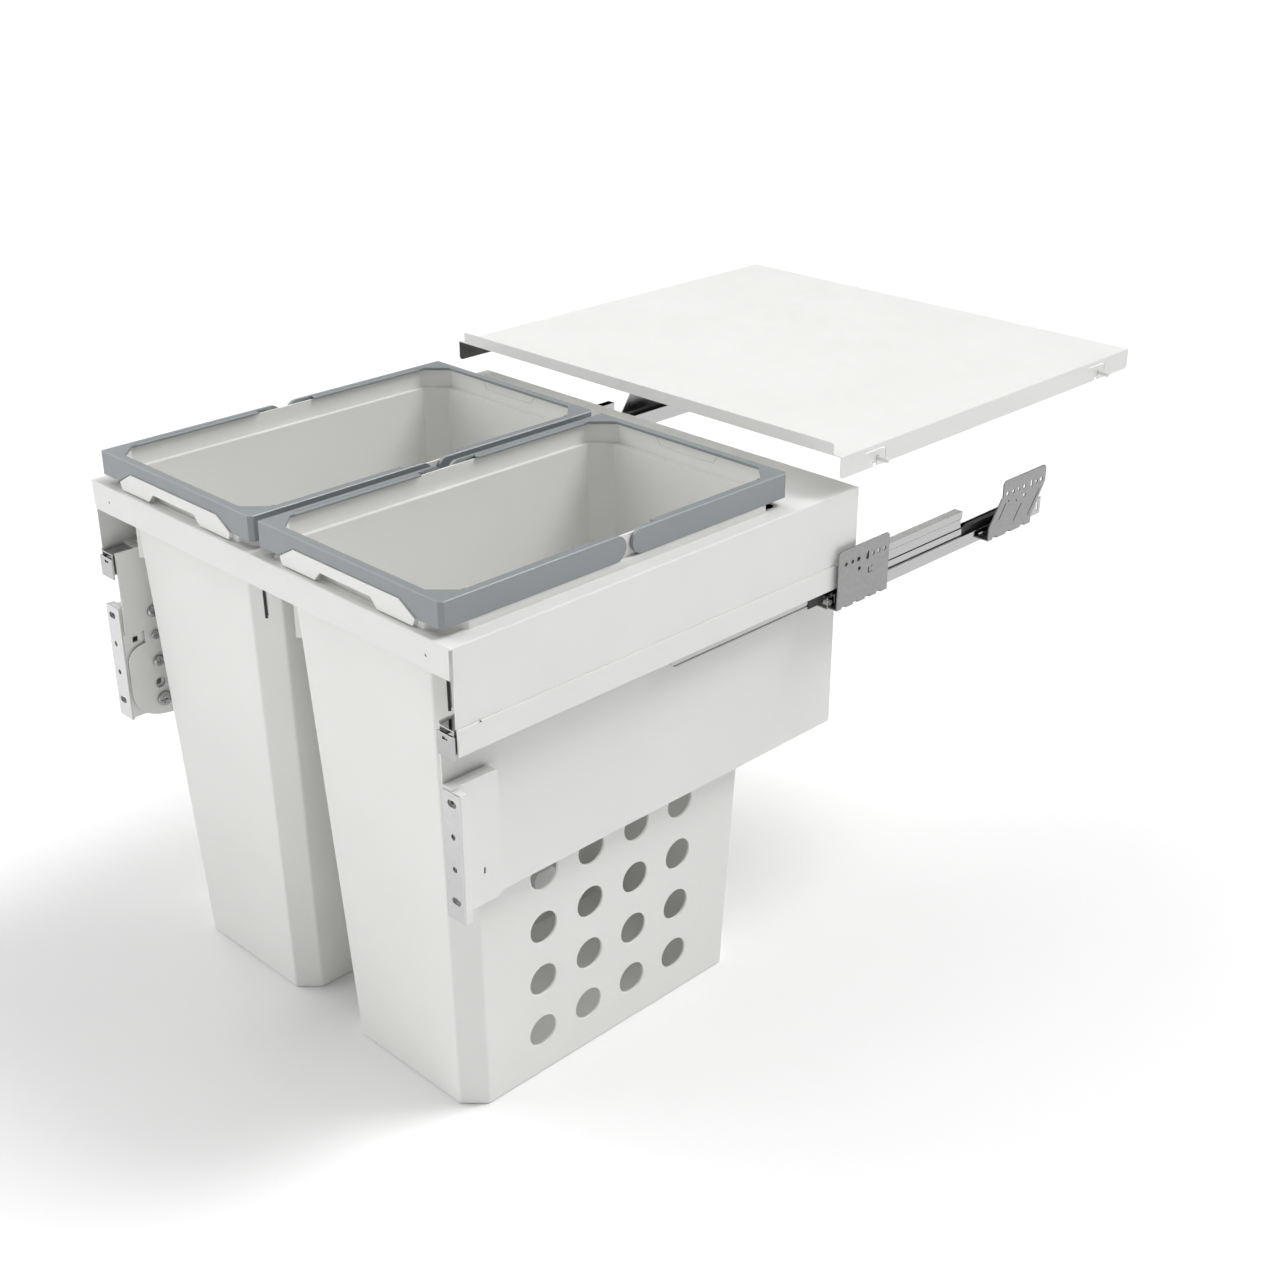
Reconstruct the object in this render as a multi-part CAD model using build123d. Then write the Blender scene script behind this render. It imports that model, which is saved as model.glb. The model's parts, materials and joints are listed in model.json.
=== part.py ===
from build123d import *
import os
from math import atan2, degrees, hypot, radians, tan

# Pull-out waste sorter for a 600 mm kitchen base cabinet, drawn out to its stop.
# +X is to the right, +Y into the cabinet, +Z up, all in millimetres.
# Pieces are laid out from the middle of the drawer frame's front top edge, and are
# moved to the cabinet's reference point when they are written: the plane between the
# cabinet's sides, its front edge, and the height of the fixing screws.

os.makedirs("parts", exist_ok=True)

# ---------------------------------------------------------------- driving dimensions
# cabinet
CABINET_HALF = 281.0            # half the clear width between the cabinet's sides
CABINET_FRONT = 476.5           # the cabinet's front edge
SCREW_ROW = -74.0               # height of the fixing screws
PITCH = 32.0                    # hole spacing of kitchen cabinets
FIRST_HOLE = CABINET_FRONT + 37.0
REAR_HOLE = FIRST_HOLE + 8 * PITCH
SCREW_R = 2.6

# drawer frame
SHEET = 1.5                     # sheet steel of the drawer
FRAME_HALF = 274.7
FRAME_DEPTH = 515.7
PANEL_FRONT = 2.5               # front edge of the side panels
PANEL_DEPTH = 73.5
FLANGE_DEPTH = 29.5
FLANGE_HALF = 272.0
FOLD = 1.4                      # outer bend radius of the painted sheet
BAY_DEPTH = 26.0                # the rail's top is bare over this length at the front
BIN_X = 131.7                   # middle of each bin
HOLE_HALF = 120.0               # half the width of a bin opening
HOLE_FRONT = 12.5
HOLE_REAR = 421.5

# side parts under the panels
APRON_IN = 250.5                # inner face of the apron
APRON_OUT = APRON_IN + SHEET
APRON_BOTTOM = -265.0
BAND_OUT = 276.2                # outer face of the band over the runner
BAND_BOTTOM = -98.8
ADJUST_Y = 35.5                 # line of the adjusters behind the apron's front edge
KNOB_UPPER_Z = -145.5
SCREW_Z = -172.0
KNOB_LOWER_Z = -201.5
RECESS_Z = -227.0
CAM_Z = -246.6

# front panel brackets
BRACKET_IN = 254.0
BRACKET_SIDE = 265.4
BRACKET_OUT = 277.0
BRACKET_TOP = -134.5
BRACKET_BOTTOM = -260.0
BRACKET_DEPTH = 52.5
BRACKET_LIP = 9.0               # depth of the bracket's wide front
PANEL_HOLE_X = 267.0
PANEL_HOLE_TOP = -144.6
INSERT_FRONT = -0.3
INSERT_BACK = 1.7

# runners
RAIL_X = 263.3                  # middle plane of a runner
RAIL_WALL = 1.2
MIDDLE_FRONT = 256.0
MIDDLE_REAR = 705.5
GUIDE_FRONT = 452.0
GUIDE_REAR = 475.0
CHANNEL_FRONT = 480.0
CHANNEL_REAR = 840.0
CHANNEL_IN = 253.2
CHANNEL_OUT = 271.2
CHANNEL_BOTTOM = -121.5
DAMPER_FRONT = 704.0
DAMPER_REAR = 800.0
DAMPER_HALF = 3.2

# cover shelf
LID_HALF = 280.5
LID_FRONT = 478.6
LID_REAR = 989.4
LID_TOP = 41.0
LID_EDGE = 18.3                 # lower edge of the turned-down sides
LID_SHEET = 1.2
LIP_TOP = 52.5
LIP_HALF = 270.2
PIN_Z = 26.0
PIN_FRONT_Y = 535.1
PIN_REAR_Y = 929.2
PIN_R = 2.5
PIN_END = 294.0

# bins
BIN_BOTTOM = -514.7
BIN_WALL = 2.3
BIN_FILLET = 5.0                # outer radius of the bin's upright edges
RIM_TOP = 29.5
RIM_SHELF = 8.0
RIM_HALF = 121.4
RIM_WALL = 2.0
RIM_FRONT = 9.0
RIM_REAR = 424.7
SKIRT_HALF = 125.0
SLOT_WIDTH = 2.8
SLOT_HEIGHT = 56.0
SLOT_Z = -50.0
SLOT_CUT = 1.5                  # depth of the slot in the wall
SLOT_LEAN = 3.4                 # lean of the corner face, in degrees
VENT_R = 16.75
VENT_PITCH = 60.3
VENT_Y = 127.7                  # first column of the air holes
VENT_Z = -464.7                 # lowest row of the air holes

# handles
GRIP_HALF = 126.0
GRIP_FRONT = 5.8
GRIP_REAR = 428.8
GRIP_TOP = 32.8
GRIP_BOTTOM = 8.5
GRIP_WALL = 2.8
PIVOT_FRONT_Y = 202.0
PIVOT_REAR_Y = 234.0
PIVOT_Z = 20.65
PIVOT_R = 12.1                  # radius of the rounded handle ends
LOBE_IN = 122.0                 # inner face of the rounded ends
STUD_R = 3.0

SIDES = {"left": -1, "right": 1}
TO_CABINET = Pos(0, -CABINET_FRONT, -SCREW_ROW)


# ---------------------------------------------------------------- helpers
def block(x0, x1, y0, y1, z0, z1):
    """A box between two corners."""
    middle = Pos((x0 + x1) / 2, (y0 + y1) / 2, (z0 + z1) / 2)
    return middle * Box(x1 - x0, y1 - y0, z1 - z0)


def rod_x(x0, x1, y, z, radius):
    """A round bar along X."""
    return Pos((x0 + x1) / 2, y, z) * Rot(0, 90, 0) * Cylinder(radius, x1 - x0)


def plate_x(points, x0, x1):
    """A (y, z) outline between two X planes."""
    face = Plane.YZ * make_face(Polyline(*points, close=True))
    return Pos(x0, 0, 0) * extrude(face, amount=x1 - x0)


def plate_y(points, y0, y1):
    """An (x, z) outline between two Y planes."""
    face = Plane.XZ * make_face(Polyline(*points, close=True))
    return Pos(0, y1, 0) * extrude(face, amount=y1 - y0)


def plate_z(points, z0, z1):
    """An (x, y) outline between two Z planes."""
    face = make_face(Polyline(*points, close=True))
    return Pos(0, 0, z0) * extrude(face, amount=z1 - z0)


def octagon(half, front, rear, cut):
    """A rectangle about x = 0 with its corners cut at 45 degrees."""
    return [
        (cut - half, front),
        (half - cut, front),
        (half, front + cut),
        (half, rear - cut),
        (half - cut, rear),
        (cut - half, rear),
        (-half, rear - cut),
        (-half, front + cut),
    ]


def slot_x(x0, x1, y, z, length, radius):
    """A rounded slot along Z, cut along X."""
    reach = length / 2 - radius
    body = block(x0, x1, y - radius, y + radius, z - reach, z + reach)
    return body + rod_x(x0, x1, y, z - reach, radius) + rod_x(x0, x1, y, z + reach, radius)


def round_corners(solid, points, radius, axis=Axis.X):
    """Rounds the edges along an axis that pass the given (y, z) or (x, z) points."""
    chosen = []
    for edge in solid.edges().filter_by(axis):
        middle = edge.center()
        for a, b in points:
            across = middle.Y if axis == Axis.X else middle.X
            if abs(across - a) < 0.05 and abs(middle.Z - b) < 0.05:
                chosen.append(edge)
                break
    return fillet(chosen, radius)


def cross_recess(y, z, x0, x1, reach, width):
    """A cross-shaped drive recess cut along X."""
    arms = block(x0, x1, y - reach, y + reach, z - width / 2, z + width / 2)
    return arms + block(x0, x1, y - width / 2, y + width / 2, z - reach, z + reach)


def write(name, solid):
    export_step(TO_CABINET * solid, f"parts/{name}.step")


def write_pair(name, right_hand):
    """Writes a piece of the right side and its mirror image on the left side."""
    write(f"{name}_right", right_hand)
    write(f"{name}_left", mirror(right_hand, about=Plane.YZ))


# ---------------------------------------------------------------- drawer frame
def frame_top():
    """Folded steel frame: top plate with two openings, side panels, end flanges."""
    body = block(-FRAME_HALF, FRAME_HALF, 0, FRAME_DEPTH, -SHEET, 0)
    for y0 in (0, FRAME_DEPTH - SHEET):
        body += block(-FLANGE_HALF, FLANGE_HALF, y0, y0 + SHEET, -FLANGE_DEPTH, 0)
    for side in SIDES.values():
        x0, x1 = sorted((side * (FRAME_HALF - SHEET), side * FRAME_HALF))
        body += block(x0, x1, PANEL_FRONT, FRAME_DEPTH, -PANEL_DEPTH, 0)
        x0, x1 = sorted((side * (FRAME_HALF - 12.0), side * FRAME_HALF))
        body += block(x0, x1, BAY_DEPTH, FRAME_DEPTH, -PANEL_DEPTH, SHEET - PANEL_DEPTH)
    top = body.faces().sort_by(Axis.Z)[-1]
    body = fillet(top.edges(), FOLD)
    for side in SIDES.values():
        # round relief where flange and panel meet, and a small hole near it
        body -= Pos(side * FRAME_HALF, 1.2, -3.2) * Sphere(1.9)
        hole = Pos(side * 243, SHEET / 2, -16) * Rot(90, 0, 0) * Cylinder(1.5, 3 * SHEET)
        body -= hole
        # openings for the bins
        corners = octagon(HOLE_HALF, HOLE_FRONT, HOLE_REAR, 6)
        body -= Pos(side * BIN_X, 0, 0) * plate_z(corners, -2 * SHEET, SHEET)
    corner = [(-FLANGE_HALF - 1, -FLANGE_DEPTH - 1), (-FLANGE_HALF + 5, -FLANGE_DEPTH - 1)]
    corner += [(-FLANGE_HALF - 1, -FLANGE_DEPTH + 5)]
    return body - plate_y(corner, -1, SHEET)


def apron_outline():
    """Apron seen from the side: a notch in the front edge, rounded lower corners."""
    front, rear = 3.0, 515.0
    turn = 38.0
    notch_top, notch_bottom, notch_depth = -164.0, -178.0, 24.0
    line = Polyline(
        (front, notch_top),
        (front, -PANEL_DEPTH),
        (rear, -PANEL_DEPTH),
        (rear, APRON_BOTTOM),
        (front + turn + 6, APRON_BOTTOM),
    )
    corner = Spline(
        (front + turn + 6, APRON_BOTTOM),
        (front, APRON_BOTTOM + turn),
        tangents=[(-1, 0.05), (0.05, 1)],
    )
    rise = Line((front, APRON_BOTTOM + turn), (front, notch_bottom - 15))
    lobe = Spline(
        (front, notch_bottom - 15),
        (notch_depth, notch_bottom),
        tangents=[(0.2, 1), (1, 0.1)],
    )
    notch = Polyline((notch_depth, notch_bottom), (notch_depth, notch_top), (front, notch_top))
    return make_face(line + corner + rise + lobe + notch)


def side_apron():
    """One bent sheet: apron, ledge under the frame, band over the runner."""
    apron = Pos(APRON_IN, 0, 0) * extrude(Plane.YZ * apron_outline(), amount=SHEET)
    low = -PANEL_DEPTH - SHEET
    body = apron + block(APRON_IN, BAND_OUT, BAY_DEPTH, FRAME_DEPTH, low, -PANEL_DEPTH)
    band = block(BAND_OUT - SHEET, BAND_OUT, 2.3, FRAME_DEPTH, BAND_BOTTOM, -PANEL_DEPTH)
    body += fillet(band.edges().filter_by(Axis.Y).group_by(Axis.X)[-1], 0.6)
    for z in (KNOB_UPPER_Z, SCREW_Z, KNOB_LOWER_Z, CAM_Z):
        body -= rod_x(APRON_IN - 1, APRON_OUT + 1, ADJUST_Y, z, 3.5)
    return body - rod_x(APRON_IN - 1, APRON_OUT + 1, ADJUST_Y, RECESS_Z, 6.0)


# ---------------------------------------------------------------- front panel brackets
def panel_holes(y0, y1):
    """Two round and two cross-wise slotted holes for the cabinet's front panel."""
    holes = Part()
    for number in range(4):
        z = PANEL_HOLE_TOP - number * PITCH
        place = Pos(PANEL_HOLE_X, (y0 + y1) / 2, z) * Rot(90, 0, 0)
        if number in (0, 3):
            shape = SlotOverall(11.0, 6.4)
        else:
            shape = Circle(2.7)
        holes += place * extrude(shape, amount=(y1 - y0) / 2, both=True)
    return holes


def front_bracket():
    """Folded bracket: a flat tube beside the apron and a wide front."""
    low, high = BRACKET_BOTTOM + 2, BRACKET_TOP + 2.5
    tube = block(BRACKET_IN, BRACKET_SIDE, INSERT_BACK, BRACKET_DEPTH, low, high)
    tube = round_corners(tube, [(BRACKET_DEPTH, high)], 5)
    inside = (BRACKET_IN + SHEET, BRACKET_SIDE - SHEET, INSERT_BACK + SHEET)
    tube -= block(*inside, BRACKET_DEPTH - SHEET, low - 1, high - 6)
    face = block(BRACKET_IN, BRACKET_OUT, INSERT_BACK, INSERT_BACK + SHEET,
                 BRACKET_BOTTOM, BRACKET_TOP)
    box = block(BRACKET_SIDE - SHEET, BRACKET_OUT, INSERT_BACK, BRACKET_LIP,
                BRACKET_BOTTOM, BRACKET_TOP)
    box = fillet(box.edges().filter_by(Axis.Z).group_by(Axis.X)[-1], 1.0)
    box -= block(BRACKET_SIDE, BRACKET_OUT - SHEET, INSERT_BACK + SHEET, BRACKET_LIP - SHEET,
                 BRACKET_BOTTOM + SHEET, BRACKET_TOP - SHEET)
    body = tube + face + box - panel_holes(INSERT_BACK - 1, INSERT_BACK + SHEET + 1)
    body -= block(BRACKET_SIDE - 2, BRACKET_SIDE + 1, 32.7, 34.9, -228.5, -222)
    for z in (KNOB_UPPER_Z, SCREW_Z, KNOB_LOWER_Z, CAM_Z):
        body -= rod_x(BRACKET_IN - 1, BRACKET_IN + 2, ADJUST_Y, z, 3.5)
    for y, z in ((ADJUST_Y, RECESS_Z), (14.7, SCREW_Z)):
        body -= block(BRACKET_IN - 1, BRACKET_IN + 2, y - 3, y + 3, z - 3, z + 3)
    # pressed bosses that rest on the apron
    for z in (-150.0, -240.0):
        body += rod_x(APRON_OUT, BRACKET_IN + 0.5, 46, z, 3.5)
    return body


def bracket_insert():
    """Bare steel plate on the bracket's front."""
    plate = block(BRACKET_IN, BRACKET_OUT, INSERT_FRONT, INSERT_BACK, BRACKET_BOTTOM,
                  BRACKET_TOP)
    return plate - panel_holes(INSERT_FRONT - 1, INSERT_BACK + 1)


# ---------------------------------------------------------------- adjusters
def knob(z):
    """Domed knob with a cross recess, on a short spindle."""
    head = rod_x(APRON_IN - 4.2, APRON_IN - 0.3, ADJUST_Y, z, 6.3)
    head = fillet(head.edges().filter_by(GeomType.CIRCLE).sort_by(Axis.X)[0], 2.2)
    spindle = rod_x(APRON_IN - 0.4, BRACKET_IN + 5, ADJUST_Y, z, 3.0)
    return head + spindle - cross_recess(ADJUST_Y, z, APRON_IN - 5, APRON_IN - 2.4, 3.2, 1.3)


def height_screw():
    """Flat screw head with a cross recess."""
    head = rod_x(APRON_IN - 2.6, APRON_IN - 0.3, ADJUST_Y, SCREW_Z, 4.8)
    head = fillet(head.edges().filter_by(GeomType.CIRCLE).sort_by(Axis.X)[0], 0.8)
    spindle = rod_x(APRON_IN - 0.4, BRACKET_IN + 5, ADJUST_Y, SCREW_Z, 3.0)
    recess = cross_recess(ADJUST_Y, SCREW_Z, APRON_IN - 3, APRON_IN - 1.2, 2.6, 1.1)
    return head + spindle - recess


def tilt_cam():
    """Eccentric disc that sets the front panel's tilt."""
    disc = Pos(0, 1.2, 0.8) * rod_x(APRON_IN - 3.4, APRON_IN - 0.3, ADJUST_Y, CAM_Z, 8.0)
    disc = fillet(disc.edges().filter_by(GeomType.CIRCLE).sort_by(Axis.X)[0], 0.8)
    spindle = rod_x(APRON_IN - 0.4, BRACKET_IN + 5, ADJUST_Y, CAM_Z, 3.0)
    recess = cross_recess(ADJUST_Y, CAM_Z, APRON_IN - 4, APRON_IN - 1.6, 4.0, 1.5)
    return disc + spindle - recess


# ---------------------------------------------------------------- runners
def drawer_rail():
    """Inverted channel under the ledge, with inward lips and a small front tab."""
    half, top, bottom = 9.4, -PANEL_DEPTH - SHEET, -97.2
    body = block(RAIL_X - half, RAIL_X + half, 1, 514, bottom, top)
    body -= block(RAIL_X - half + RAIL_WALL, RAIL_X + half - RAIL_WALL, 0, 515,
                  bottom + RAIL_WALL, top - RAIL_WALL)
    body -= block(RAIL_X - half + 2.4, RAIL_X + half - 2.4, 0, 515, bottom - 1, top - 3)
    body += block(RAIL_X + half - RAIL_WALL, RAIL_X + half, 6.5, 18.8, -101.7, bottom + 1)
    return body


def rail_end_clip():
    """Zinc end plate of the drawer rail, with a narrow slot."""
    body = block(252.6, 274.4, -1.0, 1.0, -101.5, -79.5)
    return body - block(259.5, 266.3, -2, 2, -85.5, -82.8)


def both_halves(half):
    """A section about x = 0 from one half of it."""
    return half + [(-x, z) for x, z in reversed(half)]


def middle_rail():
    """Roll-formed rail: rounded foot with a lip below, narrow waist, flat head."""
    lip = [(5.7, -111.5), (5.7, -109.5), (4.8, -109.1), (4.8, -108.5)]
    bulge = [(5.4, -107.9), (5.6, -105.5), (5.4, -102.0), (4.7, -99.2), (3.6, -96.8)]
    outer = both_halves(lip + bulge + [(3.6, -89.5), (5.1, -88.0), (5.1, -80.0)])
    lip = [(4.5, -112.5), (4.5, -110.2), (3.6, -109.6), (3.6, -108.0)]
    bulge = [(4.3, -107.3), (4.4, -105.5), (4.2, -102.4), (3.6, -99.8), (2.4, -97.4)]
    inner = both_halves(lip + bulge + [(2.4, -89.0), (3.9, -87.5), (3.9, -81.2)])
    body = plate_y(outer, MIDDLE_FRONT, MIDDLE_REAR)
    body -= plate_y(inner, MIDDLE_FRONT - 1, MIDDLE_REAR + 1)
    # the front end is rounded off below
    tip = [(-1, -99), (0, -99), (0.7, -102), (2.6, -105.5), (6, -108.8), (11, -111.6)]
    tip = [(MIDDLE_FRONT + y, z) for y, z in tip + [(11, -113), (-1, -113)]]
    return Pos(RAIL_X, 0, 0) * (body - plate_x(tip, -20, 20))


def middle_guide():
    """Plastic saddle that runs in the cabinet rail, clipped round the middle rail."""
    low, foot, high = -112.6, -111.5, -100.0
    body = block(-6.3, 6.3, GUIDE_FRONT, GUIDE_REAR, low, high)
    body -= block(-5.7, 5.7, GUIDE_FRONT - 1, GUIDE_REAR + 1, foot, high + 1)
    # the rear part is open below, because the damper passes through it
    body -= block(-4.6, 4.6, GUIDE_REAR - 9, GUIDE_REAR + 1, low - 1, high)
    return Pos(RAIL_X, 0, 0) * body


def cabinet_rail():
    """Channel fixed in the cabinet, open above, with a slotted tail."""
    body = block(CHANNEL_IN, CHANNEL_OUT, CHANNEL_FRONT, CHANNEL_REAR, CHANNEL_BOTTOM, -103.5)
    body -= block(CHANNEL_IN + RAIL_WALL, CHANNEL_OUT - RAIL_WALL, CHANNEL_FRONT - 1,
                  CHANNEL_REAR + 1, CHANNEL_BOTTOM + RAIL_WALL, -100)
    body -= block(CHANNEL_OUT - 2 * RAIL_WALL, CHANNEL_OUT + 1, CHANNEL_FRONT - 1,
                  CHANNEL_REAR + 1, -108, -100)
    slant = [(817, -103), (CHANNEL_REAR + 1, -103), (CHANNEL_REAR + 1, -119)]
    body -= plate_x(slant, CHANNEL_IN - 1, CHANNEL_IN + 2)
    body += block(CHANNEL_OUT - RAIL_WALL, CHANNEL_OUT, CHANNEL_REAR, 852, CHANNEL_BOTTOM, -102)
    body -= block(CHANNEL_OUT - 2, CHANNEL_OUT + 1, 844.5, 847.5, -117, -107)
    # gap for the support roller
    return body - block(CHANNEL_OUT - 2, CHANNEL_OUT + 1, 481.5, 490.5, -119.6, -107)


def support_roller():
    """Small plastic roller under the middle rail, on its own spindle."""
    y, z = 486.0, -116.6
    return rod_x(CHANNEL_IN + 2.0, 269.6, y, z, 3.4) + rod_x(269.0, 270.8, y, z, 1.4)


def damper():
    """Self-closing damper in the cabinet rail, with a ramp at its front."""
    low = CHANNEL_BOTTOM + RAIL_WALL
    outline = [(DAMPER_FRONT, low), (DAMPER_FRONT, -110), (DAMPER_FRONT + 21, -101.5)]
    outline += [(DAMPER_REAR, -101.5), (DAMPER_REAR, low)]
    return plate_x(outline, RAIL_X - DAMPER_HALF, RAIL_X + DAMPER_HALF)


# ---------------------------------------------------------------- cabinet plates
def plate_front_outline():
    """Front fixing plate: a rectangle with rounded upper corners."""
    return [(482.5, -121), (482.5, -58.5), (562.5, -58.5), (562.5, -121)]


def plate_rear_outline():
    """Rear fixing plate: an upper rectangle on a slanting foot."""
    return [
        (739, -121),
        (739.5, -105.7),
        (759.5, -77.5),
        (761.5, -77.5),
        (761.5, -58.5),
        (841.5, -58.5),
        (841.5, -77.5),
        (818.6, -112.3),
        (818.6, -121),
    ]


def plate_body(outline, top_corners, foot_y):
    """Steel plate against the cabinet's side, its foot turned in to the rail."""
    body = plate_x(outline, CABINET_HALF - SHEET, CABINET_HALF)
    foot = block(CHANNEL_OUT, CABINET_HALF, foot_y[0], foot_y[1], -121, -121 + SHEET)
    return round_corners(body, top_corners, 5) + foot


def pressed_rib(y0, z0, y1, z1):
    """A narrow rib pressed inwards: the groove outside and the ridge inside."""
    length = hypot(y1 - y0, z1 - z0)
    slope = degrees(atan2(z1 - z0, y1 - y0))
    place = Pos(0, (y0 + y1) / 2, (z0 + z1) / 2) * Rot(slope, 0, 0)
    groove = Pos(CABINET_HALF, 0, 0) * place * Box(1.0, length, 1.3)
    ridge = Pos(CABINET_HALF - SHEET, 0, 0) * place * Box(0.9, length + 0.8, 1.9)
    return groove, ridge


def cabinet_plate_front():
    """Plate at the cabinet's front with its row of screw holes."""
    corners = [(482.5, -58.5), (562.5, -58.5)]
    body = plate_body(plate_front_outline(), corners, (482.5, 562.5))
    x0, x1 = CABINET_HALF - 3, CABINET_HALF + 1
    for number in range(2):
        body -= rod_x(x0, x1, FIRST_HOLE + number * PITCH, SCREW_ROW, SCREW_R)
    for step in (-19.4, -9.4, 23.0, 41.5):
        body -= rod_x(x0, x1, FIRST_HOLE + step, SCREW_ROW, 2.1)
    body -= slot_x(x0, x1, FIRST_HOLE + 14.3, SCREW_ROW, 9.0, 1.9)
    body -= rod_x(x0, x1, FIRST_HOLE + 1.7, -84.5, 2.2)
    # punched tab with a C-shaped gap round it
    gap = block(x0, x1, 529.5, 536.5, -94, -86.5) - block(x0, x1, 531, 538, -92.5, -88)
    body -= gap
    for y in (490, 508, 527, 545):
        body -= block(278.5, x1, y, y + 7, -122, -118.5)
    return body


def cabinet_plate_rear():
    """Plate further in, with a slanting foot."""
    corners = [(761.5, -58.5), (841.5, -58.5)]
    body = plate_body(plate_rear_outline(), corners, (739, 818.6))
    x0, x1 = CABINET_HALF - 3, CABINET_HALF + 1
    for number in range(3):
        body -= rod_x(x0, x1, REAR_HOLE + number * PITCH, SCREW_ROW, SCREW_R)
    for step in (10.7, 21.3, 54.7):
        body -= rod_x(x0, x1, REAR_HOLE + step, SCREW_ROW, 2.1)
    body -= slot_x(x0, x1, REAR_HOLE + 45.5, SCREW_ROW, 9.0, 1.9)
    for y, z, radius in ((802.2, -84, 2.2), (772.1, -83, 1.2), (787.2, -86.5, 1.2)):
        body -= rod_x(x0, x1, y, z, radius)
    for y in (747, 772, 799):
        body -= block(278.5, x1, y, y + 8, -122, -118.5)
    for ends in ((767.2, -84.7, 756.1, -100.7), (797.5, -92.2, 784.5, -109.5),
                 (831.0, -84.0, 811.5, -110.5)):
        groove, ridge = pressed_rib(*ends)
        body = body + ridge - groove
    return body


# ---------------------------------------------------------------- cover shelf
def spring_slot(x0, x1, y):
    """Hook-shaped slot that frees a spring tongue round a pin."""
    width, bend, rear, high = 1.5, 5.0, y + 12.6, 35.7
    outer = rod_x(x0, x1, rear - bend, high - bend, bend)
    outer -= rod_x(x0, x1, rear - bend, high - bend, bend - width)
    corner = outer & block(x0, x1, rear - bend, rear, high - bend, high)
    along = block(x0, x1, y - 20, rear - bend, high - width, high)
    return corner + along + block(x0, x1, rear - width, rear, 22.5, high - bend)


def lid():
    """Sheet cover over the closed bins: sides and rear turned down, lip turned up."""
    body = block(-LID_HALF, LID_HALF, LID_FRONT, LID_REAR, LID_TOP - LID_SHEET, LID_TOP)
    lip = block(-LIP_HALF, LIP_HALF, LID_FRONT, LID_FRONT + LID_SHEET, LID_TOP - 1, LIP_TOP)
    corners = lip.edges().filter_by(Axis.Y).group_by(Axis.Z)[-1]
    body += fillet(corners, 3.0)
    body += block(-277.5, 277.5, LID_REAR - LID_SHEET, LID_REAR, LID_EDGE, LID_TOP)
    for side in SIDES.values():
        x0, x1 = sorted((side * (LID_HALF - LID_SHEET), side * LID_HALF))
        flange = block(x0, x1, LID_FRONT, LID_REAR, LID_EDGE, LID_TOP)
        flange = round_corners(flange, [(LID_FRONT, LID_EDGE), (LID_REAR, LID_EDGE)], 4.5)
        body += flange
        top_edges = body.edges().filter_by(Axis.Y).filter_by(
            lambda edge: abs(edge.center().Z - LID_TOP) < 0.01
            and abs(edge.center().X - side * LID_HALF) < 0.01)
        body = fillet(top_edges, 1.4)
        for y in (PIN_FRONT_Y, PIN_REAR_Y):
            body -= rod_x(x0 - 1, x1 + 1, y, PIN_Z, PIN_R + 0.3)
            body -= spring_slot(x0 - 1, x1 + 1, y)
            body -= rod_x(x0 - 1, x1 + 1, y - 8.8, 23.6, 1.1)
            body -= block(x0 - 1, x1 + 1, y - 6.5, y - 0.5, LID_EDGE - 1, 21.5)
    return body


def lid_pin(y):
    """Spring pin that holds the cover in the cabinet's side."""
    free = rod_x(LID_HALF + 0.5, PIN_END, y, PIN_Z, PIN_R)
    free = chamfer(free.edges().filter_by(GeomType.CIRCLE).sort_by(Axis.X)[-1], 0.8)
    shank = rod_x(277, LID_HALF + 0.6, y, PIN_Z, PIN_R - 0.4)
    return free + shank + rod_x(276.2, LID_HALF - LID_SHEET - 0.2, y, PIN_Z, 4.0)


# ---------------------------------------------------------------- bins
def bin_outline(z, inset):
    """Outline of the tapering bin at a height, drawn in by a wall thickness."""
    rise = (z - BIN_BOTTOM) / -BIN_BOTTOM
    half = 95.05 + 21.0 * rise - inset
    front = 39.4 - 23.4 * rise + inset
    rear = 401.3 + 16.7 * rise - inset
    cut = 19.5 + 1.5 * rise - inset * (2 - 2 * tan(radians(22.5))) / 2
    return octagon(half, front, rear, cut)


def tapered(z0, z1, inset, radius):
    """Tapering octagonal block between two heights, its upright edges rounded."""
    low = Pos(0, 0, z0) * make_face(Polyline(*bin_outline(z0, inset), close=True))
    high = Pos(0, 0, z1) * make_face(Polyline(*bin_outline(z1, inset), close=True))
    body = loft([low, high], ruled=True)
    upright = body.edges().filter_by(lambda edge: edge.bounding_box().size.Z > 100)
    return fillet(upright, radius)


def rounded_octagon(outline, z0, z1, radius):
    """A flat octagonal block with its upright edges rounded."""
    body = plate_z(outline, z0, z1)
    return fillet(body.edges().filter_by(Axis.Z), radius)


def facing(points, front):
    """An (x, z) outline given at the bin's front, or the same one at its rear."""
    depth = (4.65, RIM_FRONT + 0.5)
    if front:
        return plate_y(points, *depth)
    both = RIM_FRONT + RIM_REAR
    return plate_y(points, both - depth[1], both - depth[0])


def grip_lip(front):
    """Lip under the handle's bar, with a notch in its lower edge."""
    outer = [(-90.2, 1.6), (-93, 7.5), (-93, 9), (-73, 20.7), (73, 20.7), (93, 9), (93, 7.5)]
    outer += [(90.2, 1.6)]
    hollow = [(-88, 0), (-88, 8), (-71, 18.7), (71, 18.7), (88, 8), (88, 0)]
    notch = [(-42.8, 0), (-42.8, 1.6), (-35, 10.5), (35, 10.5), (42.8, 1.6), (42.8, 0)]
    shift = 2.0 if front else -2.0
    lip = facing(outer, front)
    lip -= Pos(0, shift, 0) * facing(hollow, front)
    return lip - Pos(0, -shift, 0) * facing(notch, front)


def vent_holes():
    """Sixteen air holes through both long walls."""
    holes = Part()
    for column in range(4):
        for row in range(4):
            y = VENT_Y + column * 60.0
            holes += rod_x(-130, 130, y, VENT_Z + row * VENT_PITCH, VENT_R)
    return holes


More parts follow.
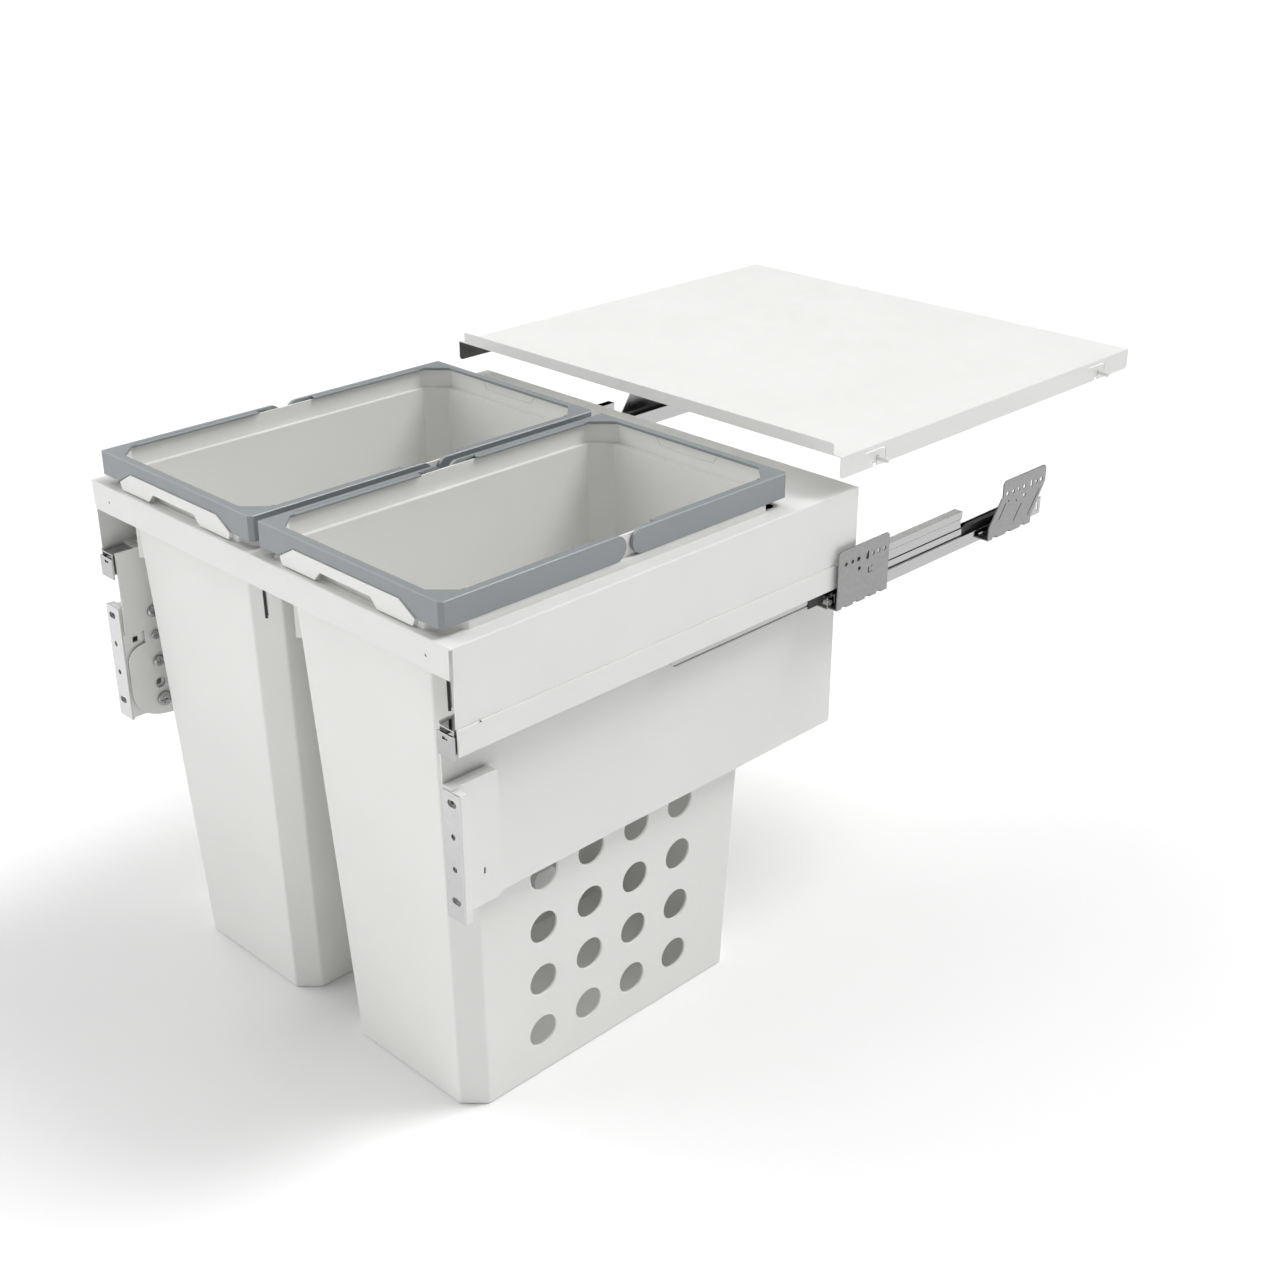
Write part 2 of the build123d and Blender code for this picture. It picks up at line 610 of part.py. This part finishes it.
def bin_body():
    """Tapering bin with a stepped rim, grip lips and studs for the handles."""
    middle = Pos(0, (RIM_FRONT + RIM_REAR) / 2, 0)
    body = tapered(BIN_BOTTOM, RIM_SHELF, 0, BIN_FILLET)
    foot = body.faces().sort_by(Axis.Z)[0]
    body = chamfer(foot.edges(), 1.2)
    for turn in (0, 180):
        pad = Pos(-103.5, 28.5, -38) * Rot(0, 0, 45) * Box(8, 22, 76)
        body += middle * Rot(0, 0, turn) * middle.inverse() * pad
    outline = octagon(SKIRT_HALF, RIM_FRONT, RIM_REAR, 26)
    skirt = rounded_octagon(outline, 0, RIM_SHELF, 4.0)
    inside = octagon(SKIRT_HALF - 2, RIM_FRONT + 2, RIM_REAR - 2, 25)
    skirt -= plate_z(inside, -1, RIM_SHELF - 2)
    outline = octagon(RIM_HALF, RIM_FRONT, RIM_REAR, 25.5)
    body += skirt + rounded_octagon(outline, RIM_SHELF - 2, RIM_TOP, 4.0)
    # finger recesses behind the grip lips
    for y in (RIM_FRONT, RIM_REAR):
        body -= block(-43, 43, y - 5, y + 5, -1, RIM_SHELF + 0.8)
    inner = octagon(RIM_HALF - RIM_WALL, RIM_FRONT + RIM_WALL, RIM_REAR - RIM_WALL, 24.3)
    body -= rounded_octagon(inner, RIM_SHELF + 2, RIM_TOP + 1, 2.0)
    body -= tapered(BIN_BOTTOM + 2.6, RIM_SHELF + 3, BIN_WALL, BIN_FILLET - BIN_WALL)
    for front in (True, False):
        body += grip_lip(front)
        # shallow trapezoid groove pressed into the inside of the rim
        y0 = RIM_FRONT + RIM_WALL - 0.7 if front else RIM_REAR - RIM_WALL
        mark = plate_y([(-36, 20), (-42.6, 30), (42.6, 30), (36, 20)], y0, y0 + 0.7)
        core = plate_y([(-35.4, 20.8), (-41.4, 30), (41.4, 30), (35.4, 20.8)], y0, y0 + 0.7)
        body -= mark - core
    # shallow upright slot in the front right corner face
    place = Pos(103.6, 28.7, SLOT_Z) * Rot(0, 0, 45) * Rot(SLOT_LEAN, 0, 0)
    body -= place * Box(SLOT_WIDTH, 2 * SLOT_CUT, SLOT_HEIGHT)
    for side in SIDES.values():
        for y in (PIVOT_FRONT_Y, PIVOT_REAR_Y):
            x0, x1 = sorted((side * (RIM_HALF - 1), side * 124.7))
            body += rod_x(x0, x1, y, PIVOT_Z, STUD_R)
    return body - vent_holes()


# ---------------------------------------------------------------- handles
def handle_half(front):
    """One half of the handle ring; both halves swing up about studs on the rim."""
    pivot = PIVOT_FRONT_Y if front else PIVOT_REAR_Y
    end = GRIP_FRONT if front else GRIP_REAR
    inward = 1 if front else -1
    y0, y1 = sorted((end, pivot))
    ring = block(-GRIP_HALF, GRIP_HALF, y0, y1, GRIP_BOTTOM, GRIP_TOP)
    upright = ring.edges().filter_by(Axis.Z)
    left = [e for e in upright if abs(e.center().Y - end) < 0.01 and e.center().X < 0]
    ring = fillet(left, 2.2)
    upright = ring.edges().filter_by(Axis.Z)
    right = [e for e in upright if abs(e.center().Y - end) < 0.01 and e.center().X > 100]
    ring = chamfer(right, 4.0)
    ring += rod_x(-GRIP_HALF, GRIP_HALF, pivot, PIVOT_Z, PIVOT_R)
    top = ring.edges().filter_by(lambda e: abs(e.center().Z - GRIP_TOP) < 0.01)
    top = [e for e in top if abs(e.center().Y - pivot) > 0.1]
    ring = chamfer(top, 0.9)

    # space under the top and inside the skirt
    skirt = end + inward * GRIP_WALL
    y0, y1 = sorted((skirt, pivot + inward * 20))
    ring -= block(-GRIP_HALF + GRIP_WALL, GRIP_HALF - GRIP_WALL, y0, y1, 0,
                  GRIP_TOP - GRIP_WALL)
    # opening in the top: narrow from the corner webs on, wider near the pivot
    bar = end + inward * 9.0
    web = 19.5
    near = pivot - inward * 19.0
    half = GRIP_HALF - 10.2
    hole = [(half - web, bar), (half, bar + inward * web), (half, near)]
    hole = hole + [(-x, y) for x, y in reversed(hole)]
    ring -= plate_z(hole, 0, GRIP_TOP + 1)
    y0, y1 = sorted((near, pivot + inward * 20))
    ring -= block(-LOBE_IN, LOBE_IN, y0, y1, 0, GRIP_TOP + 1)
    # the inner ledge lies a little lower than the outer part
    step = GRIP_HALF - 5.5
    y0, y1 = sorted((end + inward * 34.0, near))
    ring -= block(-step, step, y0, y1, GRIP_TOP - 0.8, GRIP_TOP + 1)
    # solid rounded ends
    for side in SIDES.values():
        x0, x1 = sorted((side * LOBE_IN, side * (GRIP_HALF - 1)))
        ring += rod_x(x0, x1, pivot, PIVOT_Z, PIVOT_R)
        x0, x1 = sorted((side * (LOBE_IN - 1), side * 125.0))
        ring -= rod_x(x0, x1, pivot, PIVOT_Z, STUD_R + 0.3)
    # the bar's skirt is cut away over the bin's lip
    cut = [(-96.5, 8), (-96.5, 9), (-74, 21.2), (74, 21.2), (96.5, 9), (96.5, 8)]
    y0, y1 = sorted((end - inward, skirt + inward * 0.5))
    return ring - plate_y(cut, y0, y1)


# ---------------------------------------------------------------- writing
write("frame_top", frame_top())
write_pair("side_apron", side_apron())
write_pair("front_bracket", front_bracket())
write_pair("bracket_insert", bracket_insert())
write_pair("knob_upper", knob(KNOB_UPPER_Z))
write_pair("knob_lower", knob(KNOB_LOWER_Z))
write_pair("height_screw", height_screw())
write_pair("tilt_cam", tilt_cam())
write_pair("drawer_rail", drawer_rail())
write_pair("rail_end_clip", rail_end_clip())
write_pair("middle_rail", middle_rail())
write_pair("middle_guide", middle_guide())
write_pair("cabinet_rail", cabinet_rail())
write_pair("support_roller", support_roller())
write_pair("damper", damper())
write_pair("cabinet_plate_front", cabinet_plate_front())
write_pair("cabinet_plate_rear", cabinet_plate_rear())
write("lid", lid())
write_pair("lid_pin_front", lid_pin(PIN_FRONT_Y))
write_pair("lid_pin_rear", lid_pin(PIN_REAR_Y))
for side_name, side_sign in SIDES.items():
    at_bin = Pos(side_sign * BIN_X, 0, 0)
    write(f"bin_{side_name}", at_bin * bin_body())
    write(f"handle_front_{side_name}", at_bin * handle_half(True))
    write(f"handle_rear_{side_name}", at_bin * handle_half(False))
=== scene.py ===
import json
import math

import bmesh
import bpy
from mathutils import Matrix, Vector


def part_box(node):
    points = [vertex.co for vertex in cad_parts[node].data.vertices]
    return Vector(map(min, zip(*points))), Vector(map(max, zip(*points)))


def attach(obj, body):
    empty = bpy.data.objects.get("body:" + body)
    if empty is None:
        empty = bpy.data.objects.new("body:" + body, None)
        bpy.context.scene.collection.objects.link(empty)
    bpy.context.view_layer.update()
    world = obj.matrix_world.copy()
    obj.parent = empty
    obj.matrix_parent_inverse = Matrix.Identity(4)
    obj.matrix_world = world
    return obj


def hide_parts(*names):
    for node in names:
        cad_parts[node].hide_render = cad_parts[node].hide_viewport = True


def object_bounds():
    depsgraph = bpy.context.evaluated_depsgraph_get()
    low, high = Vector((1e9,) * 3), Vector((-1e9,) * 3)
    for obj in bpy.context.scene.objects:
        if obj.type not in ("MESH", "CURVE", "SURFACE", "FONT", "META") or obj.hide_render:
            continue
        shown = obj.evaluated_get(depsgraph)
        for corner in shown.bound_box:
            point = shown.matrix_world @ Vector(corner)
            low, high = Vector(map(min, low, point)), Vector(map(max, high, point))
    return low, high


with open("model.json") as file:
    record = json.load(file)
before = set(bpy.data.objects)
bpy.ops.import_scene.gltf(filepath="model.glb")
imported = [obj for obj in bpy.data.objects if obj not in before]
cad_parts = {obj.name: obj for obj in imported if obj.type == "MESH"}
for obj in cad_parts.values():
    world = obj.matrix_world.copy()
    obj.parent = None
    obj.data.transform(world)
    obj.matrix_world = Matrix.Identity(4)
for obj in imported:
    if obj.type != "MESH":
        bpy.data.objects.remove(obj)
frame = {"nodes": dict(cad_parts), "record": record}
cad_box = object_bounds()

# Pull-out waste sorter: a steel drawer frame with two tapering bins, on runners under
# a fixed sheet cover. Metres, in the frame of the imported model: x across, +y into the
# cabinet, z up, origin at the cabinet's front edge at the height of the fixing screws.

MM = 0.001
SIDES = ("left", "right")
RECORD = frame["record"]

# ------------------------------------------------------------------ camera and light
CAMERA_AZIMUTH = 44.77
CAMERA_ELEVATION = 25.35
CAMERA_DISTANCE = 2.0
CAMERA_TARGET = Vector((0.0247, -0.0112, -0.1576))
LENS = 51.32
SENSOR = 36.0
FLOOR_SIZE = 12.0
FLOOR_GAP = 0.2 * MM           # the floor lies this far under the bins
# direction of each soft light, its full and outer angles, and its strength
SOFT_BOXES = [
    ((0.30, 0.52, 0.80), (5, 16), 12.5),
    ((0.30, 0.55, 0.78), (0, 50), 1.20),
    ((-0.70, -0.12, 0.70), (0, 50), 1.78),
    ((-0.85, -0.49, 0.17), (0, 50), 0.88),
    ((-0.13, -0.99, -0.03), (0, 50), 1.15),
    ((0.80, -0.25, 0.55), (0, 50), 0.27),
]


# ------------------------------------------------------------------ material helpers
class Shader:
    """A principled material that is built up from small node chains."""

    def __init__(self, name, **values):
        self.material = bpy.data.materials.new(name)
        self.material.use_nodes = True
        self.tree = self.material.node_tree
        self.surface = self.tree.nodes["Principled BSDF"]
        self.place = self.node("ShaderNodeTexCoord").outputs["Object"]
        for socket, value in values.items():
            self.surface.inputs[socket.replace("_", " ")].default_value = value

    def node(self, kind, **settings):
        """A new node with its settings."""
        made = self.tree.nodes.new(kind)
        for key, value in settings.items():
            setattr(made, key, value)
        return made

    def link(self, source, target):
        self.tree.links.new(source, target)

    def stretched(self, scale):
        """Object coordinates scaled per axis."""
        mapping = self.node("ShaderNodeMapping")
        mapping.inputs["Scale"].default_value = scale
        self.link(self.place, mapping.inputs["Vector"])
        return mapping.outputs["Vector"]

    def noise(self, scale, detail=2.0, roughness=0.5, vector=None):
        """Smooth noise, in object coordinates unless others are given."""
        made = self.node("ShaderNodeTexNoise")
        made.inputs["Scale"].default_value = scale
        made.inputs["Detail"].default_value = detail
        made.inputs["Roughness"].default_value = roughness
        self.link(vector or self.place, made.inputs["Vector"])
        return made.outputs["Fac"]

    def cells(self, scale):
        """Small cells of one random colour each."""
        made = self.node("ShaderNodeTexVoronoi")
        made.inputs["Scale"].default_value = scale
        self.link(self.place, made.inputs["Vector"])
        return made.outputs

    def spread(self, value, low, high, from_low=0.3, from_high=0.7):
        """Maps a value to a range."""
        made = self.node("ShaderNodeMapRange")
        made.inputs["From Min"].default_value = from_low
        made.inputs["From Max"].default_value = from_high
        made.inputs["To Min"].default_value = low
        made.inputs["To Max"].default_value = high
        self.link(value, made.inputs["Value"])
        return made.outputs["Result"]

    def blend(self, factor, low, high):
        """Blends two colours by a factor."""
        made = self.node("ShaderNodeMix", data_type="RGBA")
        made.inputs["A"].default_value = (*low, 1)
        made.inputs["B"].default_value = (*high, 1)
        self.link(factor, made.inputs["Factor"])
        return made.outputs["Result"]

    def bump(self, height, distance, under=None):
        """Relief of a height in metres, on top of another relief where one is given."""
        made = self.node("ShaderNodeBump")
        made.inputs["Distance"].default_value = distance
        made.inputs["Strength"].default_value = 1.0
        self.link(height, made.inputs["Height"])
        if under is not None:
            self.link(under, made.inputs["Normal"])
        return made.outputs["Normal"]

    def set(self, socket, source):
        self.link(source, self.surface.inputs[socket])


# ------------------------------------------------------------------ materials
def powder_coat():
    """Satin white powder coat: very fine orange peel, hardly any tone change."""
    shader = Shader("powder_coat", Roughness=0.42, Specular_IOR_Level=0.45)
    tone = shader.spread(shader.noise(9.0, 3.0), 0.0, 1.0)
    shader.set("Base Color", shader.blend(tone, (0.775, 0.775, 0.757), (0.80, 0.80, 0.783)))
    shader.set("Roughness", shader.spread(shader.noise(60.0, 3.0), 0.38, 0.47))
    peel = shader.bump(shader.noise(900.0, 1.5), 0.00003)
    shader.set("Normal", shader.bump(shader.noise(220.0, 1.0), 0.00005, under=peel))
    return shader.material


def moulded(name, low, high, roughness, grain=1500.0, depth=0.00003, gloss=0.4):
    """Moulded plastic with a fine eroded grain."""
    shader = Shader(name, Specular_IOR_Level=gloss)
    tone = shader.spread(shader.noise(7.0, 3.0), 0.0, 1.0)
    shader.set("Base Color", shader.blend(tone, low, high))
    shader.set("Roughness", shader.spread(shader.noise(80.0, 3.0), roughness - 0.04,
                                          roughness + 0.05))
    fine = shader.bump(shader.noise(grain, 2.0), depth)
    shader.set("Normal", shader.bump(shader.noise(35.0, 1.0), 0.00012, under=fine))
    return shader.material


def galvanized(name, darkest, lightest, roughness):
    """Galvanized sheet: faint spangles and rolling lines."""
    shader = Shader(name, Metallic=1.0)
    grey = shader.node("ShaderNodeRGBToBW")
    shader.link(shader.cells(420.0)["Color"], grey.inputs["Color"])
    flake = grey.outputs["Val"]
    tone = shader.spread(flake, 0.0, 1.0, 0.1, 0.9)
    shader.set("Base Color", shader.blend(tone, (darkest,) * 3, (lightest,) * 3))
    shader.set("Roughness", shader.spread(flake, roughness - 0.03, roughness + 0.03, 0.1, 0.9))
    lines = shader.noise(60.0, 4.0, 0.6, shader.stretched((12.0, 0.6, 12.0)))
    shader.set("Normal", shader.bump(lines, 0.000012))
    return shader.material


def bright_zinc():
    """Bright zinc-plated, roll-formed steel: drawn lines along the runner."""
    shader = Shader("bright_zinc", Metallic=1.0)
    lines = shader.noise(45.0, 3.0, 0.6, shader.stretched((25.0, 0.5, 25.0)))
    shader.set("Base Color", shader.blend(lines, (0.42, 0.42, 0.42), (0.50, 0.50, 0.50)))
    shader.set("Roughness", shader.spread(lines, 0.05, 0.09))
    shader.set("Normal", shader.bump(lines, 0.00001))
    return shader.material


def floor_paint():
    """Matte white studio floor."""
    shader = Shader("studio_floor", Roughness=0.9, Specular_IOR_Level=0.1)
    tone = shader.spread(shader.noise(3.0, 3.0), 0.0, 1.0)
    shader.set("Base Color", shader.blend(tone, (0.895, 0.895, 0.895), (0.905, 0.905, 0.905)))
    return shader.material


MATERIALS = {
    "white_paint": powder_coat(),
    "bin_plastic": moulded("bin_plastic", (0.80, 0.80, 0.78), (0.82, 0.82, 0.80), 0.46),
    "grey_plastic": moulded("grey_plastic", (0.235, 0.253, 0.265), (0.255, 0.273, 0.285), 0.36,
                            gloss=0.8),
    "galvanized": galvanized("galvanized", 0.62, 0.66, 0.38),
    # darker copy of the galvanized sheet for the cabinet plates: partly the plates' own grey
    # tone, partly painted shade for the dark surroundings they reflect
    "plate_steel_and_shade": galvanized("plate_steel_and_shade", 0.29, 0.33, 0.31),
    "bright_zinc": bright_zinc(),
    "black_plastic": moulded("black_plastic", (0.012, 0.012, 0.012), (0.02, 0.02, 0.02), 0.4),
    # near-black colour used as painted shade on the inner faces of the cover's side lips
    "lid_painted_shade": moulded("lid_painted_shade", (0.066, 0.066, 0.064), (0.08, 0.08, 0.078), 0.55,
                          gloss=0.3),
    "white_plastic": moulded("white_plastic", (0.74, 0.74, 0.72), (0.78, 0.78, 0.76), 0.3),
}


# ------------------------------------------------------------------ pieces from CAD nodes
WELD_DISTANCE = 0.002 * MM      # corners of neighbouring faces this close are one
FLAT_ANGLE = 0.4                # faces that turn by less than this many degrees are one
SHARP_ANGLE = 32.0              # edges that turn by more than this many degrees are rounded
ROUNDING_STEPS = 2
# width of the rounding, in millimetres, by the kind of piece
EDGE_WIDTHS = {"frame_top": 0.12, "side_apron": 0.12, "bin": 0.18, "cabinet_plate": 0.15,
               "lid": 0.2, "front_bracket": 0.15}
EDGE_WIDTH = 0.3
MATERIAL_BY_KIND = {"cabinet_plate": "plate_steel_and_shade"}


def node_slot(node):
    """Material slot that the record gives a node."""
    return next(s["material_slot"] for s in RECORD["subparts"] if s["node"] == node)


def node_body(node):
    """Body that a node belongs to."""
    bodies = RECORD["behaviour"]["bodies"]
    return next(body for body, nodes in bodies.items() if node in nodes)


def finish_mesh(mesh):
    """Smooth shading that breaks at the sharp edges."""
    mesh.shade_smooth()
    mesh.set_sharp_from_angle(angle=math.radians(SHARP_ANGLE))


def refined(node, width, material):
    """A cleaned and edge-rounded copy of a CAD node, which takes the node's place."""
    mesh = bpy.data.meshes.new(node + "_fine")
    work = bmesh.new()
    work.from_mesh(frame["nodes"][node].data)
    bmesh.ops.remove_doubles(work, verts=work.verts, dist=WELD_DISTANCE)
    bmesh.ops.dissolve_limit(work, angle_limit=math.radians(FLAT_ANGLE), verts=work.verts,
                             edges=work.edges)
    limit = math.radians(SHARP_ANGLE)
    sharp = [e for e in work.edges if len(e.link_faces) == 2 and e.calc_face_angle() > limit]
    bmesh.ops.bevel(work, geom=sharp, offset=width, segments=ROUNDING_STEPS, profile=0.5,
                    affect="EDGES", clamp_overlap=False)
    work.to_mesh(mesh)
    work.free()
    finish_mesh(mesh)
    return placed(node + "_fine", mesh, material, node_body(node), node)


def placed(name, mesh, material, body, node=None):
    """Puts a mesh in the scene on its body, in the place of a node where one is named."""
    piece = bpy.data.objects.new(name, mesh)
    bpy.context.scene.collection.objects.link(piece)
    mesh.materials.append(MATERIALS[material])
    weighted = piece.modifiers.new("weighted", "WEIGHTED_NORMAL")
    weighted.keep_sharp = True
    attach(piece, body)
    if node is not None:
        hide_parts(node)
    return piece


def block_mesh(name, middle, size, turn, width):
    """A small block with rounded edges, turned about its middle."""
    mesh = bpy.data.meshes.new(name)
    work = bmesh.new()
    bmesh.ops.create_cube(work, size=1.0)
    bmesh.ops.scale(work, vec=size, verts=work.verts)
    bmesh.ops.bevel(work, geom=work.edges[:], offset=width, segments=ROUNDING_STEPS,
                    profile=0.5, affect="EDGES")
    bmesh.ops.transform(work, matrix=turn, verts=work.verts)
    bmesh.ops.translate(work, vec=middle, verts=work.verts)
    work.to_mesh(mesh)
    work.free()
    finish_mesh(mesh)
    return mesh


def by_kind(node, table, otherwise):
    """The table's entry for the kind of piece that a node's name starts with."""
    found = [value for kind, value in table.items() if node.startswith(kind)]
    return found[0] if found else otherwise


def paint_lid_shade(mesh):
    """Gives the inner faces of the sheet cover's side lips a near-black colour: painted shade
    for the shadow under the cover.
    """
    mesh.materials.append(MATERIALS["lid_painted_shade"])
    for face in mesh.polygons:
        if face.normal.x * face.center.x < 0 and abs(face.normal.x) > 0.5:
            face.material_index = 1


def cad_pieces():
    """Every CAD node with finer edges and its own material."""
    for node in sorted(frame["nodes"]):
        width = by_kind(node, EDGE_WIDTHS, EDGE_WIDTH) * MM
        piece = refined(node, width, by_kind(node, MATERIAL_BY_KIND, node_slot(node)))
        # the cover's inner lip faces get a near-black colour as painted shade
        if node == "lid":
            paint_lid_shade(piece.data)


# ------------------------------------------------------------------ painted shade in the bin slots
# black strip of painted shade in the slot in each bin's front right corner, placed from the
# bin's middle, front and top
SLOT_ACROSS = 103.6 * MM
SLOT_BEHIND_FRONT = 22.9 * MM
SLOT_BELOW_TOP = 82.8 * MM
SLOT_SINK = 1.2 * MM            # middle of the strip, inwards from the corner face
SLOT_SIZE = Vector((2.7, 0.5, 55.8)) * MM
SLOT_EDGE = 0.1 * MM
SLOT_TURN = 45.0
SLOT_LEAN = 3.4


def slot_shade_strip(side):
    """Black strip of painted shade at the bottom of the slot in a bin's corner face, standing
    in for the shadow in the slot.
    """
    low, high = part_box("bin_" + side)
    lean = Matrix.Rotation(math.radians(SLOT_LEAN), 4, "X")
    turn = Matrix.Rotation(math.radians(SLOT_TURN), 4, "Z") @ lean
    middle = Vector(((low.x + high.x) / 2 + SLOT_ACROSS, low.y + SLOT_BEHIND_FRONT,
                     high.z - SLOT_BELOW_TOP))
    middle += turn @ Vector((0, SLOT_SINK, 0))
    name = "slot_shade_strip_" + side
    mesh = block_mesh(name, middle, SLOT_SIZE, turn, SLOT_EDGE)
    # the black plastic strip is painted shade for the slot's shadow
    placed(name, mesh, "black_plastic", "bin_" + side)


cad_pieces()
for side_name in SIDES:
    slot_shade_strip(side_name)


# ------------------------------------------------------------------ studio
def studio():
    """Plain white floor under the bins."""
    low = cad_box[0]
    mesh = bpy.data.meshes.new("studio_floor")
    work = bmesh.new()
    bmesh.ops.create_grid(work, x_segments=8, y_segments=8, size=FLOOR_SIZE)
    work.to_mesh(mesh)
    work.free()
    mesh.materials.append(floor_paint())
    floor = bpy.data.objects.new("studio_floor", mesh)
    floor.location = (0, 0, low[2] - FLOOR_GAP)
    bpy.context.scene.collection.objects.link(floor)


def soft_box(tree, way, toward, reach, strength):
    """Strength of a soft round light in the surroundings, seen in a direction."""
    facing = tree.nodes.new("ShaderNodeVectorMath")
    facing.operation = "DOT_PRODUCT"
    facing.inputs[1].default_value = Vector(toward).normalized()
    tree.links.new(way, facing.inputs[0])
    fade = tree.nodes.new("ShaderNodeMapRange")
    fade.interpolation_type = "SMOOTHSTEP"
    fade.inputs["From Min"].default_value = math.cos(math.radians(reach[1]))
    fade.inputs["From Max"].default_value = math.cos(math.radians(reach[0]))
    fade.inputs["To Min"].default_value = 0.0
    fade.inputs["To Max"].default_value = strength
    tree.links.new(facing.outputs["Value"], fade.inputs["Value"])
    return fade.outputs["Result"]


def surroundings():
    """A dark studio with a few soft lights, on a white backdrop for the camera."""
    world = bpy.data.worlds.new("studio")
    world.use_nodes = True
    tree = world.node_tree
    background = tree.nodes["Background"]
    background.inputs["Color"].default_value = (1, 1, 1, 1)
    way = tree.nodes.new("ShaderNodeTexCoord").outputs["Generated"]
    total = None
    for toward, reach, strength in SOFT_BOXES:
        glow = soft_box(tree, way, toward, reach, strength)
        if total is not None:
            both = tree.nodes.new("ShaderNodeMath")
            both.operation = "ADD"
            tree.links.new(total, both.inputs[0])
            tree.links.new(glow, both.inputs[1])
            glow = both.outputs["Value"]
        total = glow
    seen = tree.nodes.new("ShaderNodeMix")
    seen.inputs["B"].default_value = 1.0
    tree.links.new(tree.nodes.new("ShaderNodeLightPath").outputs["Is Camera Ray"],
                   seen.inputs["Factor"])
    tree.links.new(total, seen.inputs["A"])
    tree.links.new(seen.outputs["Result"], background.inputs["Strength"])
    bpy.context.scene.world = world


def camera():
    """Looks at the sorter from the front right, from above."""
    data = bpy.data.cameras.new("camera")
    data.lens = LENS
    data.sensor_width = SENSOR
    data.clip_end = 100
    azimuth, elevation = math.radians(CAMERA_AZIMUTH), math.radians(CAMERA_ELEVATION)
    back = Vector((math.sin(azimuth) * math.cos(elevation),
                   -math.cos(azimuth) * math.cos(elevation), math.sin(elevation)))
    eye = bpy.data.objects.new("camera", data)
    eye.location = CAMERA_TARGET + back * CAMERA_DISTANCE
    eye.rotation_euler = (math.pi / 2 - elevation, 0, azimuth)
    bpy.context.scene.collection.objects.link(eye)
    bpy.context.scene.camera = eye


studio()
surroundings()
camera()
bpy.context.scene.view_settings.view_transform = "Standard"
